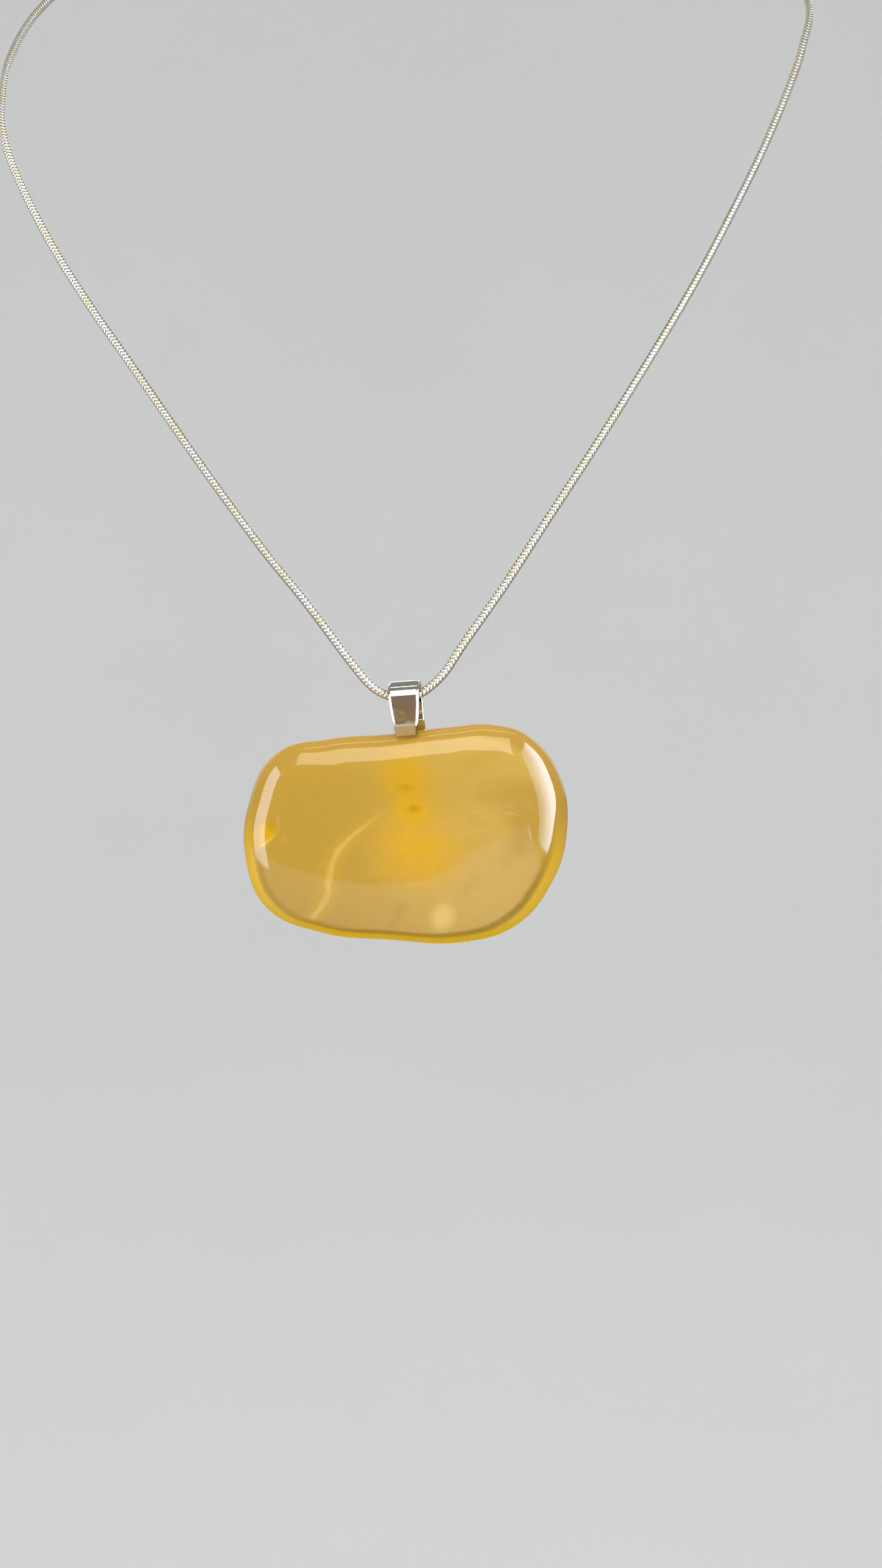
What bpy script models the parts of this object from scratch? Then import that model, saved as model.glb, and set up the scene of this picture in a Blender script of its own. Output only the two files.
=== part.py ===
"""Pendant necklace: a polished honey-yellow stone on a folded glue-on bail, hung from a fine
snake chain with cupped end caps, jump rings and a lobster clasp at the nape.

Metres, +Z up, +X to the wearer's left, -Y out from the chest. The origin is at the clasp, on the nape.
"""

import math

import bmesh
import bpy
from mathutils import Vector

MM = 0.001

# Chain.
CHAIN_RADIUS = 0.6 * MM
CHAIN_STEPS = 2
CHAIN_BOTTOM = Vector((0.0, -103.0, -130.0)) * MM

# Stone.
STONE_CENTRE_DROP = 19.1 * MM
STONE_THICKNESS = 7.0 * MM
STONE_EDGE_RADIUS = 3.0 * MM

# Bail.
PENDANT_TURN = math.radians(-6.0)
BAIL_LEAN = math.radians(-4.8)
BAIL_SHIFT = -0.16 * MM
BAIL_THICKNESS = 0.5 * MM
BAIL_HALF_WIDTH = 2.15 * MM
GLUE_RADIUS = 2.1 * MM
GLUE_THICKNESS = 0.22 * MM

# End caps and rings.
LOOP_RADIUS = 1.05 * MM
LOOP_WIRE = 0.3 * MM
CUP_RADIUS = 1.0 * MM
CUP_BORE = 0.68 * MM
CUP_BASE = 1.05 * MM
CUP_MOUTH = 4.95 * MM
RING_RADIUS = 2.2 * MM
RING_WIRE = 0.3 * MM
LOOP_X = {"left": -10.05 * MM, "right": 9.15 * MM}
RING_X = {"left": -7.5 * MM, "right": 6.6 * MM}
RING_HINGE_X = {"left": -9.0 * MM, "right": 8.1 * MM}

# Clasp, laid out about the point CLASP_X along the nape.
CLASP_X = 0.3 * MM
CLASP_THICKNESS = 1.6 * MM
CLASP_EDGE = 0.2 * MM
CLASP_SLOT = 0.8 * MM
EYE_CENTRE = (-5.5, 0.0)
EYE_HOLE = 0.75
EYE_HINGE_X = -6.25 * MM
RIVET_CENTRE = (-2.2, 0.9)
RIVET_RADIUS = 0.35 * MM
RIVET_HEAD = 0.58 * MM
LEVER_THICKNESS = 0.68 * MM
SPRING_WIRE = 0.1 * MM

# Points that the chain runs through, in millimetres, from the left cap over the chest to the right cap.
CHAIN_ROUTE = (
    (-12.2, 0.0, 0.0),
    (-15.2, 0.0, 0.0),
    (-20.5, -0.4, -0.4),
    (-30.4, -5.0, -3.2),
    (-41.6, -13.8, -8.6),
    (-52.2, -26.2, -16.6),
    (-59.6, -39.6, -26.4),
    (-62.4, -50.5, -35.2),
    (-62.6, -57.6, -42.5),
    (-61.6, -62.6, -48.5),
    (-58.6, -67.4, -55.7),
    (-52.9, -73.5, -65.7),
    (-46.6, -79.1, -74.9),
    (-40.0, -84.0, -83.7),
    (-30.5, -90.6, -96.5),
    (-20.9, -96.0, -109.0),
    (-14.4, -98.9, -116.7),
    (-8.0, -101.6, -124.9),
    (-4.9, -102.5, -128.4),
    (-2.3, -102.9, -129.8),
    (0.0, -103.0, -130.0),
    (2.4, -102.9, -129.1),
    (5.2, -102.3, -126.6),
    (8.0, -101.2, -122.5),
    (13.7, -98.7, -114.6),
    (19.4, -95.7, -106.1),
    (28.1, -90.5, -93.2),
    (36.8, -84.2, -79.7),
    (42.5, -79.5, -70.4),
    (47.9, -74.2, -60.7),
    (53.2, -68.4, -50.6),
    (58.1, -61.8, -39.9),
    (60.2, -58.0, -34.2),
    (61.8, -52.6, -28.4),
    (61.0, -44.0, -22.2),
    (57.0, -31.8, -15.8),
    (48.8, -19.6, -9.8),
    (38.0, -9.8, -5.0),
    (27.4, -3.2, -1.8),
    (19.5, -0.3, -0.2),
    (14.2, 0.0, 0.0),
    (11.3, 0.0, 0.0),
)

# Outline of the stone about its own centre: across, up, in millimetres.
STONE_OUTLINE = (
    (22.6, 0.2),
    (21.6, 8.1),
    (17.0, 14.0),
    (12.0, 15.5),
    (6.0, 15.1),
    (-2.4, 14.0),
    (-11.0, 13.2),
    (-18.7, 11.0),
    (-22.5, 4.1),
    (-23.2, -3.8),
    (-20.2, -11.2),
    (-12.6, -14.6),
    (-2.9, -15.5),
    (8.9, -15.5),
    (15.6, -13.0),
    (20.3, -7.3),
)

# The bail's strap from front tip over the chain to the glued pad: back, up, share of the half width.
BAIL_PATH = (
    (-3.00, -5.15, 0.74),
    (-2.72, -3.90, 0.80),
    (-2.45, -2.45, 0.88),
    (-2.22, -0.95, 0.96),
    (-2.10, 0.45, 1.00),
    (-1.56, 1.50, 1.02),
    (-0.82, 2.02, 1.02),
    (0.00, 2.18, 1.02),
    (0.82, 2.02, 1.02),
    (1.56, 1.50, 1.00),
    (2.10, 0.45, 0.99),
    (2.18, -1.50, 0.98),
    (2.22, -3.00, 0.98),
    (2.45, -4.10, 0.98),
    (3.00, -5.10, 1.00),
    (3.62, -6.10, 1.04),
    (3.98, -7.10, 1.10),
    (4.05, -8.20, 1.16),
    (4.05, -10.00, 1.16),
    (4.05, -11.40, 1.08),
    (4.05, -12.20, 0.84),
    (4.05, -12.60, 0.55),
)
PAD_CENTRE_Z = -9.8 * MM
PAD_INNER_Y = 3.8 * MM

# Outline of the clasp's body, anticlockwise from the top of the pivot block: along, up, in millimetres.
CLASP_OUTLINE = (
    (-0.5, 2.25),
    (-2.4, 2.5),
    (-3.9, 1.85),
    (-4.6, 1.1),
    (-5.5, 1.35),
    (-6.45, 0.95),
    (-6.85, 0.0),
    (-6.45, -0.95),
    (-5.5, -1.35),
    (-4.6, -1.2),
    (-3.6, -1.9),
    (-1.2, -2.7),
    (2.0, -2.95),
    (4.7, -2.2),
    (6.0, -0.2),
    (5.7, 1.6),
    (4.6, 2.6),
    (3.2, 2.85),
    (2.55, 2.4),
    (3.0, 1.85),
    (4.1, 1.5),
    (4.7, 0.4),
    (4.4, -0.9),
    (2.4, -1.75),
    (0.4, -1.5),
    (-0.6, -0.5),
    (-0.45, 0.9),
)

# Outline of the clasp's lever: rounded root, thumb tab, then the arm that shuts the mouth.
LEVER_OUTLINE = (
    (-2.95, 0.85),
    (-2.85, 1.6),
    (-3.05, 2.6),
    (-2.95, 3.45),
    (-2.4, 3.6),
    (-2.0, 3.1),
    (-1.75, 2.2),
    (-1.0, 1.8),
    (1.0, 1.72),
    (2.9, 1.62),
    (3.25, 1.3),
    (2.9, 0.95),
    (1.0, 0.85),
    (-0.7, 0.6),
    (-1.6, 0.28),
    (-2.3, 0.16),
)

# Wire spring that presses up on the lever's arm, inside the clasp's slot.
SPRING_PATH = (
    (-1.0, -0.98),
    (-1.6, -1.0),
    (-2.3, -0.98),
    (-2.85, -0.85),
    (-3.05, -0.6),
    (-2.8, -0.36),
    (-2.2, -0.26),
    (-1.6, -0.18),
    (-1.1, -0.04),
)


def clear_scene():
    for obj in list(bpy.data.objects):
        bpy.data.objects.remove(obj, do_unlink=True)


def make_collection(name, shown=True):
    collection = bpy.data.collections.new(name)
    bpy.context.scene.collection.children.link(collection)
    collection.hide_render = not shown
    return collection


def make_material(name, colour, metallic, roughness):
    material = bpy.data.materials.new(name)
    material.use_nodes = True
    shader = material.node_tree.nodes["Principled BSDF"]
    shader.inputs["Base Color"].default_value = (*colour, 1.0)
    shader.inputs["Metallic"].default_value = metallic
    shader.inputs["Roughness"].default_value = roughness
    material.diffuse_color = (*colour, 1.0)
    return material


def add_object(name, data, collection):
    obj = bpy.data.objects.new(name, data)
    collection.objects.link(obj)
    return obj


def smooth_path(points, steps):
    """Points on a Catmull-Rom curve through the given points, this many to each stretch."""
    knots = [Vector(p) * MM for p in points]
    knots = [2 * knots[0] - knots[1]] + knots + [2 * knots[-1] - knots[-2]]
    path = []
    for i in range(1, len(knots) - 2):
        a, b, c, d = knots[i - 1 : i + 3]
        for step in range(steps):
            t = step / steps
            bend = (2 * a - 5 * b + 4 * c - d) * t**2 + (3 * b - a - 3 * c + d) * t**3
            path.append(0.5 * (2 * b + (c - a) * t + bend))
    path.append(knots[-2])
    return path


def poly_spline(curve, points, radii=None, cyclic=False):
    spline = curve.splines.new("POLY")
    spline.points.add(len(points) - 1)
    for i, point in enumerate(points):
        spline.points[i].co = (*point, 1.0)
        spline.points[i].radius = radii[i] if radii else 1.0
    spline.use_cyclic_u = cyclic
    return spline


def closed_bezier(curve, outline, resolution):
    """A smooth closed outline in the curve's own plane, through points in millimetres."""
    spline = curve.splines.new("BEZIER")
    spline.bezier_points.add(len(outline) - 1)
    for point, (across, up) in zip(spline.bezier_points, outline):
        point.co = (across * MM, up * MM, 0.0)
        point.handle_left_type = "AUTO"
        point.handle_right_type = "AUTO"
    spline.use_cyclic_u = True
    spline.resolution_u = resolution
    return spline


def circle_outline(centre, radius, count=14):
    return [
        (
            centre[0] + radius * math.cos(2 * math.pi * i / count),
            centre[1] + radius * math.sin(2 * math.pi * i / count),
        )
        for i in range(count)
    ]


def flat_curve(name, thickness, edge, edge_steps):
    """A filled 2D curve of this thickness, its edges rounded inside the outline."""
    curve = bpy.data.curves.new(name, "CURVE")
    curve.dimensions = "2D"
    curve.fill_mode = "BOTH"
    curve.extrude = thickness / 2 - edge
    curve.bevel_depth = edge
    curve.bevel_resolution = edge_steps
    curve.offset = -edge
    return curve


def wire_curve(name, points, radius, sides=2, cyclic=False):
    curve = bpy.data.curves.new(name, "CURVE")
    curve.dimensions = "3D"
    curve.bevel_depth = radius
    curve.bevel_resolution = sides
    curve.use_fill_caps = not cyclic
    poly_spline(curve, points, cyclic=cyclic)
    return curve


def mesh_of(obj):
    """The object's evaluated shape as a new closed mesh; the object itself is removed."""
    graph = bpy.context.evaluated_depsgraph_get()
    mesh = bpy.data.meshes.new_from_object(obj.evaluated_get(graph))
    bpy.data.objects.remove(obj, do_unlink=True)
    shape = bmesh.new()
    shape.from_mesh(mesh)
    bmesh.ops.remove_doubles(shape, verts=shape.verts, dist=1e-6)
    bmesh.ops.recalc_face_normals(shape, faces=shape.faces)
    shape.to_mesh(mesh)
    shape.free()
    return mesh


def round_shading(obj, material, angle=40.0):
    obj.data.materials.clear()
    obj.data.materials.append(material)
    if obj.type == "MESH":
        obj.data.shade_smooth()
        obj.data.set_sharp_from_angle(angle=math.radians(angle))


def boolean(obj, other, operation):
    modifier = obj.modifiers.new(operation.title(), "BOOLEAN")
    modifier.operation = operation
    modifier.solver = "EXACT"
    modifier.object = other


def as_cutter(obj):
    obj.hide_render = True
    obj.display_type = "WIRE"
    return obj


def turned_mesh(name, profile, steps, collection):
    """A solid turned about Z from a profile of (radius, height) points in metres, top to bottom."""
    mesh = bpy.data.meshes.new(name)
    points = [(radius, 0.0, height) for radius, height in profile]
    edges = [(i, i + 1) for i in range(len(points) - 1)]
    mesh.from_pydata(points, edges, [])
    obj = add_object(name, mesh, collection)
    screw = obj.modifiers.new("Screw", "SCREW")
    screw.steps = steps
    screw.render_steps = steps
    screw.use_merge_vertices = True
    screw.merge_threshold = 1e-6
    bpy.context.view_layer.update()
    return mesh_of(obj)


def torus_mesh(name, radius, wire, around, section):
    bpy.ops.mesh.primitive_torus_add(
        major_radius=radius,
        minor_radius=wire,
        major_segments=around,
        minor_segments=section,
    )
    obj = bpy.context.object
    mesh = obj.data
    mesh.name = name
    bpy.data.objects.remove(obj, do_unlink=True)
    return mesh


def build_chain(parts, material):
    """Fine round snake chain, one soft tube from cap to cap."""
    path = smooth_path(CHAIN_ROUTE, CHAIN_STEPS)
    curve = wire_curve("snake_chain", path, CHAIN_RADIUS)
    curve.materials.append(material)
    return add_object("snake_chain", curve, parts)


def build_stone(parts, pendant, material):
    """Polished freeform slab, a little wider at the right shoulder, with rounded edges."""
    curve = flat_curve("stone", STONE_THICKNESS, STONE_EDGE_RADIUS, 5)
    closed_bezier(curve, STONE_OUTLINE, 5)
    stone = add_object("stone", curve, parts)
    stone.parent = pendant
    stone.location = (0.0, 0.0, -STONE_CENTRE_DROP)
    stone.rotation_euler = (math.radians(90.0), 0.0, 0.0)
    curve.materials.append(material)
    return stone


def build_bail(parts, pendant, material):
    """One strap of sheet, folded over the chain and flared to a pad behind the stone."""
    curve = bpy.data.curves.new("bail_strap", "CURVE")
    curve.dimensions = "2D"
    curve.fill_mode = "NONE"
    curve.extrude = BAIL_HALF_WIDTH
    path = [(back * MM, up * MM, 0.0) for back, up, _ in BAIL_PATH]
    poly_spline(curve, path, [share for _, _, share in BAIL_PATH])
    strap = add_object("bail_strap", curve, parts)
    bpy.context.view_layer.update()
    bail = add_object("bail", mesh_of(strap), parts)
    solid = bail.modifiers.new("Thickness", "SOLIDIFY")
    solid.thickness = BAIL_THICKNESS
    solid.offset = 0.0
    solid.use_even_offset = True
    edge = bail.modifiers.new("Edges", "BEVEL")
    edge.width = 0.1 * MM
    edge.segments = 2
    edge.limit_method = "ANGLE"
    edge.angle_limit = math.radians(50.0)
    bail.parent = pendant
    bail.rotation_mode = "XYZ"
    bail.rotation_euler = (math.radians(90.0) + BAIL_LEAN, 0.0, math.radians(90.0))
    bail.location = (BAIL_SHIFT, 0.0, 0.0)
    round_shading(bail, material)
    return bail


def build_glue(parts, pendant, material):
    """Clear adhesive disc between the bail's pad and the back of the stone."""
    bpy.ops.mesh.primitive_cylinder_add(vertices=28, radius=GLUE_RADIUS, depth=GLUE_THICKNESS)
    obj = bpy.context.object
    mesh = obj.data
    bpy.data.objects.remove(obj, do_unlink=True)
    glue = add_object("glue_pad", mesh, parts)
    glue.parent = pendant
    glue.location = (0.5 * MM, PAD_INNER_Y - 0.15 * MM, PAD_CENTRE_Z)
    glue.rotation_euler = (math.radians(90.0), 0.0, 0.0)
    round_shading(glue, material)
    return glue


def build_end_cap(parts, cutters, side, material):
    """Cup crimped over the chain's end, with a wire loop soldered to its closed end."""
    profile = (
        (0.0, CUP_BASE + 0.9 * MM),
        (CUP_BORE, CUP_BASE + 0.9 * MM),
        (CUP_BORE, CUP_MOUTH - 0.1 * MM),
        (CUP_BORE + 0.1 * MM, CUP_MOUTH),
        (CUP_RADIUS - 0.08 * MM, CUP_MOUTH),
        (CUP_RADIUS, CUP_MOUTH - 0.1 * MM),
        (CUP_RADIUS, CUP_BASE + 0.75 * MM),
        (CUP_RADIUS - 0.15 * MM, CUP_BASE + 0.35 * MM),
        (CUP_RADIUS - 0.45 * MM, CUP_BASE + 0.05 * MM),
        (0.0, CUP_BASE),
    )
    name = "end_cap_" + side
    cap = add_object(name, turned_mesh(name, profile, 20, parts), parts)
    loop = add_object(
        name + "_loop",
        torus_mesh(name + "_loop", LOOP_RADIUS, LOOP_WIRE, 24, 8),
        cutters,
    )
    loop.rotation_euler = (math.radians(90.0), 0.0, 0.0)
    loop.parent = cap
    boolean(cap, as_cutter(loop), "UNION")
    cap.location = (LOOP_X[side], 0.0, 0.0)
    turn = -90.0 if side == "left" else 90.0
    cap.rotation_euler = (0.0, math.radians(turn), 0.0)
    round_shading(cap, material)
    return cap


def build_ring(parts, side, material):
    """Closed jump ring lying level, its parent empty on the end cap's loop."""
    hinge = bpy.data.objects.new("ring_hinge_" + side, None)
    parts.objects.link(hinge)
    hinge.location = (RING_HINGE_X[side], 0.0, 0.0)
    name = "jump_ring_" + side
    ring = add_object(name, torus_mesh(name, RING_RADIUS, RING_WIRE, 32, 10), parts)
    ring.parent = hinge
    ring.location = (RING_X[side] - RING_HINGE_X[side], 0.0, 0.0)
    round_shading(ring, material)
    return hinge


def build_clasp_body(parts, cutters, clasp, material):
    """Cast claw with an eye, holes for the rivet and a slot for the lever's root."""
    curve = flat_curve("clasp_body", CLASP_THICKNESS, CLASP_EDGE, 1)
    closed_bezier(curve, CLASP_OUTLINE, 3)
    closed_bezier(curve, circle_outline(EYE_CENTRE, EYE_HOLE + 0.2), 2)
    closed_bezier(curve, circle_outline(RIVET_CENTRE, 0.38 + 0.2), 2)
    outline = add_object("clasp_outline", curve, parts)
    bpy.context.view_layer.update()
    body = add_object("clasp_body", mesh_of(outline), parts)
    bpy.ops.mesh.primitive_cube_add(size=1.0)
    slot = bpy.context.object
    slot.name = "clasp_slot"
    for collection in list(slot.users_collection):
        collection.objects.unlink(slot)
    cutters.objects.link(slot)
    slot.scale = (3.6 * MM, 4.0 * MM, CLASP_SLOT)
    slot.location = ((-3.3 + 1.8) * MM, (-1.15 + 2.0) * MM, 0.0)
    slot.parent = body
    boolean(body, as_cutter(slot), "DIFFERENCE")
    body.parent = clasp
    body.rotation_euler = (math.radians(90.0), 0.0, 0.0)
    body.location = (CLASP_X - EYE_HINGE_X, 0.0, 0.0)
    round_shading(body, material)
    return body


def build_rivet(parts, clasp, material):
    """Pin through both cheeks and the lever, with a low head on each side."""
    half = CLASP_THICKNESS / 2
    profile = (
        (0.0, half + 0.2 * MM),
        (RIVET_HEAD - 0.15 * MM, half + 0.16 * MM),
        (RIVET_HEAD, half + 0.04 * MM),
        (RIVET_RADIUS, half + 0.04 * MM),
        (RIVET_RADIUS, -half - 0.04 * MM),
        (RIVET_HEAD, -half - 0.04 * MM),
        (RIVET_HEAD - 0.15 * MM, -half - 0.16 * MM),
        (0.0, -half - 0.2 * MM),
    )
    rivet = add_object("clasp_rivet", turned_mesh("clasp_rivet", profile, 20, parts), parts)
    rivet.parent = clasp
    rivet.rotation_euler = (math.radians(90.0), 0.0, 0.0)
    rivet.location = (
        CLASP_X - EYE_HINGE_X + RIVET_CENTRE[0] * MM,
        0.0,
        RIVET_CENTRE[1] * MM,
    )
    round_shading(rivet, material)
    return rivet


def build_lever(parts, clasp, material):
    """Sprung lever that shuts the claw's mouth; its origin is on the rivet."""
    curve = flat_curve("clasp_lever", LEVER_THICKNESS, 0.12 * MM, 1)
    about_rivet = [(u - RIVET_CENTRE[0], v - RIVET_CENTRE[1]) for u, v in LEVER_OUTLINE]
    closed_bezier(curve, about_rivet, 3)
    closed_bezier(curve, circle_outline((0.0, 0.0), 0.40 + 0.12), 2)
    outline = add_object("lever_outline", curve, parts)
    bpy.context.view_layer.update()
    lever = add_object("clasp_lever", mesh_of(outline), parts)
    lever.parent = clasp
    lever.rotation_euler = (math.radians(90.0), 0.0, 0.0)
    lever.location = (
        CLASP_X - EYE_HINGE_X + RIVET_CENTRE[0] * MM,
        0.0,
        RIVET_CENTRE[1] * MM,
    )
    round_shading(lever, material)
    return lever


def build_spring(parts, clasp, material):
    """Bent wire spring lying in the slot under the lever's arm."""
    path = [(u * MM, 0.0, v * MM) for u, v in SPRING_PATH]
    curve = wire_curve("clasp_spring", path, SPRING_WIRE)
    curve.materials.append(material)
    spring = add_object("clasp_spring", curve, parts)
    spring.parent = clasp
    spring.location = (CLASP_X - EYE_HINGE_X, 0.0, 0.0)
    return spring


def main():
    clear_scene()
    parts = make_collection("pendant_necklace")
    cutters = make_collection("helpers", shown=False)

    build_chain(parts, make_material("chain_silver", (0.78, 0.77, 0.72), 1.0, 0.22))

    pendant = bpy.data.objects.new("pendant_hinge", None)
    parts.objects.link(pendant)
    pendant.location = CHAIN_BOTTOM
    pendant.rotation_euler = (0.0, 0.0, PENDANT_TURN)
    build_stone(parts, pendant, make_material("honey_stone", (0.60, 0.36, 0.07), 0.0, 0.08))
    build_bail(parts, pendant, make_material("bail_silver", (0.80, 0.79, 0.77), 1.0, 0.12))
    build_glue(parts, pendant, make_material("clear_glue", (0.80, 0.78, 0.72), 0.0, 0.25))

    for side in ("left", "right"):
        cap_metal = make_material("end_cap_silver_" + side, (0.76, 0.76, 0.74), 1.0, 0.20)
        build_end_cap(parts, cutters, side, cap_metal)
        ring_metal = make_material("ring_silver_" + side, (0.78, 0.78, 0.76), 1.0, 0.18)
        build_ring(parts, side, ring_metal)

    clasp = bpy.data.objects.new("clasp_hinge", None)
    parts.objects.link(clasp)
    clasp.location = (EYE_HINGE_X, 0.0, 0.0)
    body_metal = make_material("clasp_silver", (0.77, 0.77, 0.75), 1.0, 0.18)
    build_clasp_body(parts, cutters, clasp, body_metal)
    build_rivet(parts, clasp, make_material("rivet_silver", (0.70, 0.70, 0.69), 1.0, 0.25))
    build_lever(parts, clasp, make_material("lever_silver", (0.74, 0.74, 0.73), 1.0, 0.20))
    build_spring(parts, clasp, make_material("spring_steel", (0.50, 0.51, 0.52), 1.0, 0.35))
    bpy.context.view_layer.update()


main()
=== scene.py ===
"""Looks of the pendant necklace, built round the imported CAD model: a honey-coloured polished stone on
a mirror-bright folded bail, a fine snake chain, cupped end caps, jump rings and a lobster clasp.

Lengths are metres, or millimetres times MM. +Z is up, +X the wearer's left, -Y out from the chest.
"""

import math

import bmesh
import bpy
import numpy as np
from mathutils import Matrix, Vector, noise


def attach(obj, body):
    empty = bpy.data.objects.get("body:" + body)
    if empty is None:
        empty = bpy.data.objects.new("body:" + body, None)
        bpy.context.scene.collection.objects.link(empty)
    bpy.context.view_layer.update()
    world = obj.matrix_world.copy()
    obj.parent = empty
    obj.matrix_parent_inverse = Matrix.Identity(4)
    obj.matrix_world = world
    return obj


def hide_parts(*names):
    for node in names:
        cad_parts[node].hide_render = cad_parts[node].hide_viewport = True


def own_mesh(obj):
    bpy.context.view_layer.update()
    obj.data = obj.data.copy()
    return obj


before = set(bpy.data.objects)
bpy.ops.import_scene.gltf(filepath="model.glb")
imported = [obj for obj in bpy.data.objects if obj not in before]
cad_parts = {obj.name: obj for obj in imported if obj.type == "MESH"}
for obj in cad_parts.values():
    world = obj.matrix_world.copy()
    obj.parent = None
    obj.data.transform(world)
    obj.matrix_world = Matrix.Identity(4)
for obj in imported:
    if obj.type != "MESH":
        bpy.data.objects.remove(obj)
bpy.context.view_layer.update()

MM = 0.001

# View of the photograph: the height that it takes in at the view's distance, then the view itself.
IMAGE_HEIGHT = 220.15 * MM
VIEW_DISTANCE = 0.35
VIEW_PITCH = math.radians(8.0)
VIEW_CENTRE = Vector((4.8, -104.75, -141.98)) * MM
SENSOR = 36.0

# Chain.
CHAIN_DIAMETER = 1.2 * MM
CHAIN_BOTTOM = Vector((0.0, -103.0, -130.0)) * MM
CHAIN_SIDES = 24
TWIST_PER_METRE = 7.0
LINK_PITCH = 0.6 * MM
LINK_WAVES = 4
# How far a link's wavy edges swing along the chain, as a share of the pitch.
LINK_SWING = 0.5
# Shares of the chain's radius: a crown's radius, and what a trough and a crease take off it.
LINK_CROWN = 1.10
LINK_TROUGH = 0.13
LINK_CREASE = 0.2
# One link from crease to crease: share of the pitch, height of the crown.
LINK_PROFILE = ((0.0, 0.0), (0.12, 0.62), (0.34, 1.0), (0.62, 0.94), (0.88, 0.5))

# Pendant.
PENDANT_TURN = math.radians(-6.0)
BAIL_LEAN = math.radians(-4.8)
BAIL_SHIFT = -0.16 * MM
STONE_CENTRE_DROP = 19.1 * MM
STONE_THICKNESS = 7.0 * MM
# Powers of the two faces' domes: the higher, the flatter.
DOME_FRONT = 5.0
DOME_BACK = 12.0
# Rings of points on the faces lie this share of the outline apart.
FACE_STEP = 0.03
# The faces rise and fall by this share of their depth, with this many hills to a metre.
FACE_DRIFT = 0.012
DRIFT_SCALE = 110.0
BAIL_THICKNESS = 0.5 * MM
BAIL_HALF_WIDTH = 2.15 * MM
PAD_CENTRE = Vector((0.5, 3.65, -9.8)) * MM
GLUE_RADIUS = 2.35 * MM

# Ends and clasp. Sizes without MM are in millimetres, as in the outlines below.
LOOP_RADIUS = 1.05 * MM
LOOP_WIRE = 0.3 * MM
CUP_RADIUS = 1.0 * MM
CUP_BORE = 0.68 * MM
CUP_BASE = 1.05 * MM
CUP_MOUTH = 4.95 * MM
CUP_GROOVE = 0.05 * MM
SOLDER_RADIUS = 0.5 * MM
SOLDER_HEIGHT = 0.22 * MM
LOOP_X = {"left": -10.05 * MM, "right": 9.15 * MM}
RING_RADIUS = 2.2 * MM
RING_WIRE = 0.3 * MM
RING_X = {"left": -7.5 * MM, "right": 6.6 * MM}
CLASP_X = 0.3 * MM
CLASP_THICKNESS = 1.6 * MM
CLASP_EDGE = 0.2
SLOT_THICKNESS = 0.8 * MM
SLOT_CORNER = (-3.3, -1.15)
SLOT_SIZE = (3.6, 4.0)
EYE_CENTRE = (-5.5, 0.0)
EYE_HOLE = 0.75
RIVET_CENTRE = (-2.2, 0.9)
RIVET_HOLE = 0.38
RIVET_RADIUS = 0.35 * MM
RIVET_HEAD = 0.58 * MM
RIVET_GAP = 0.04 * MM
LEVER_THICKNESS = 0.68 * MM
LEVER_EDGE = 0.12
LEVER_HOLE = 0.40
SPRING_WIRE = 0.1 * MM

# Studio.
STAGE_FLOOR = -0.5
STAGE_TOP = 1.6
STAGE_RADIUS = 2.2
STAGE_SWEEP = 0.9
STAGE_SIDES = 96
AMBIENT = (0.97, 0.98, 0.99)
SOFTBOX_COLOUR = (1.0, 0.99, 0.84)
SOFTBOX_RADIANCE = 2.2
SOFTBOX_DISTANCE = 0.5

# Colours of the stone's body at its two ends, in screen levels.
BODY_LEFT = (214, 171, 68)
BODY_RIGHT = (228, 187, 90)

# Points that the chain runs through, in millimetres, from the left cap over the chest to the right cap.
CHAIN_ROUTE = (
    (-12.2, 0.0, 0.0),
    (-15.2, 0.0, 0.0),
    (-20.5, -0.4, -0.4),
    (-30.4, -5.0, -3.2),
    (-41.6, -13.8, -8.6),
    (-52.2, -26.2, -16.6),
    (-59.6, -39.6, -26.4),
    (-62.4, -50.5, -35.2),
    (-62.6, -57.6, -42.5),
    (-61.6, -62.6, -48.5),
    (-58.6, -67.4, -55.7),
    (-52.9, -73.5, -65.7),
    (-46.6, -79.1, -74.9),
    (-40.0, -84.0, -83.7),
    (-30.5, -90.6, -96.5),
    (-20.9, -96.0, -109.0),
    (-14.4, -98.9, -116.7),
    (-8.0, -101.6, -124.9),
    (-4.9, -102.5, -128.4),
    (-2.3, -102.9, -129.8),
    (0.0, -103.0, -130.0),
    (2.4, -102.9, -129.1),
    (5.2, -102.3, -126.6),
    (8.0, -101.2, -122.5),
    (13.7, -98.7, -114.6),
    (19.4, -95.7, -106.1),
    (28.1, -90.5, -93.2),
    (36.8, -84.2, -79.7),
    (42.5, -79.5, -70.4),
    (47.9, -74.2, -60.7),
    (53.2, -68.4, -50.6),
    (58.1, -61.8, -39.9),
    (60.2, -58.0, -34.2),
    (61.8, -52.6, -28.4),
    (61.0, -44.0, -22.2),
    (57.0, -31.8, -15.8),
    (48.8, -19.6, -9.8),
    (38.0, -9.8, -5.0),
    (27.4, -3.2, -1.8),
    (19.5, -0.3, -0.2),
    (14.2, 0.0, 0.0),
    (11.3, 0.0, 0.0),
)

# Outline of the stone about its own centre: across, up, in millimetres.
STONE_OUTLINE = (
    (22.6, 0.2),
    (21.6, 8.1),
    (17.0, 14.0),
    (12.0, 15.5),
    (6.0, 15.1),
    (-2.4, 14.0),
    (-11.0, 13.2),
    (-18.7, 11.0),
    (-22.5, 4.1),
    (-23.2, -3.8),
    (-20.2, -11.2),
    (-12.6, -14.6),
    (-2.9, -15.5),
    (8.9, -15.5),
    (15.6, -13.0),
    (20.3, -7.3),
)

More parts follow.
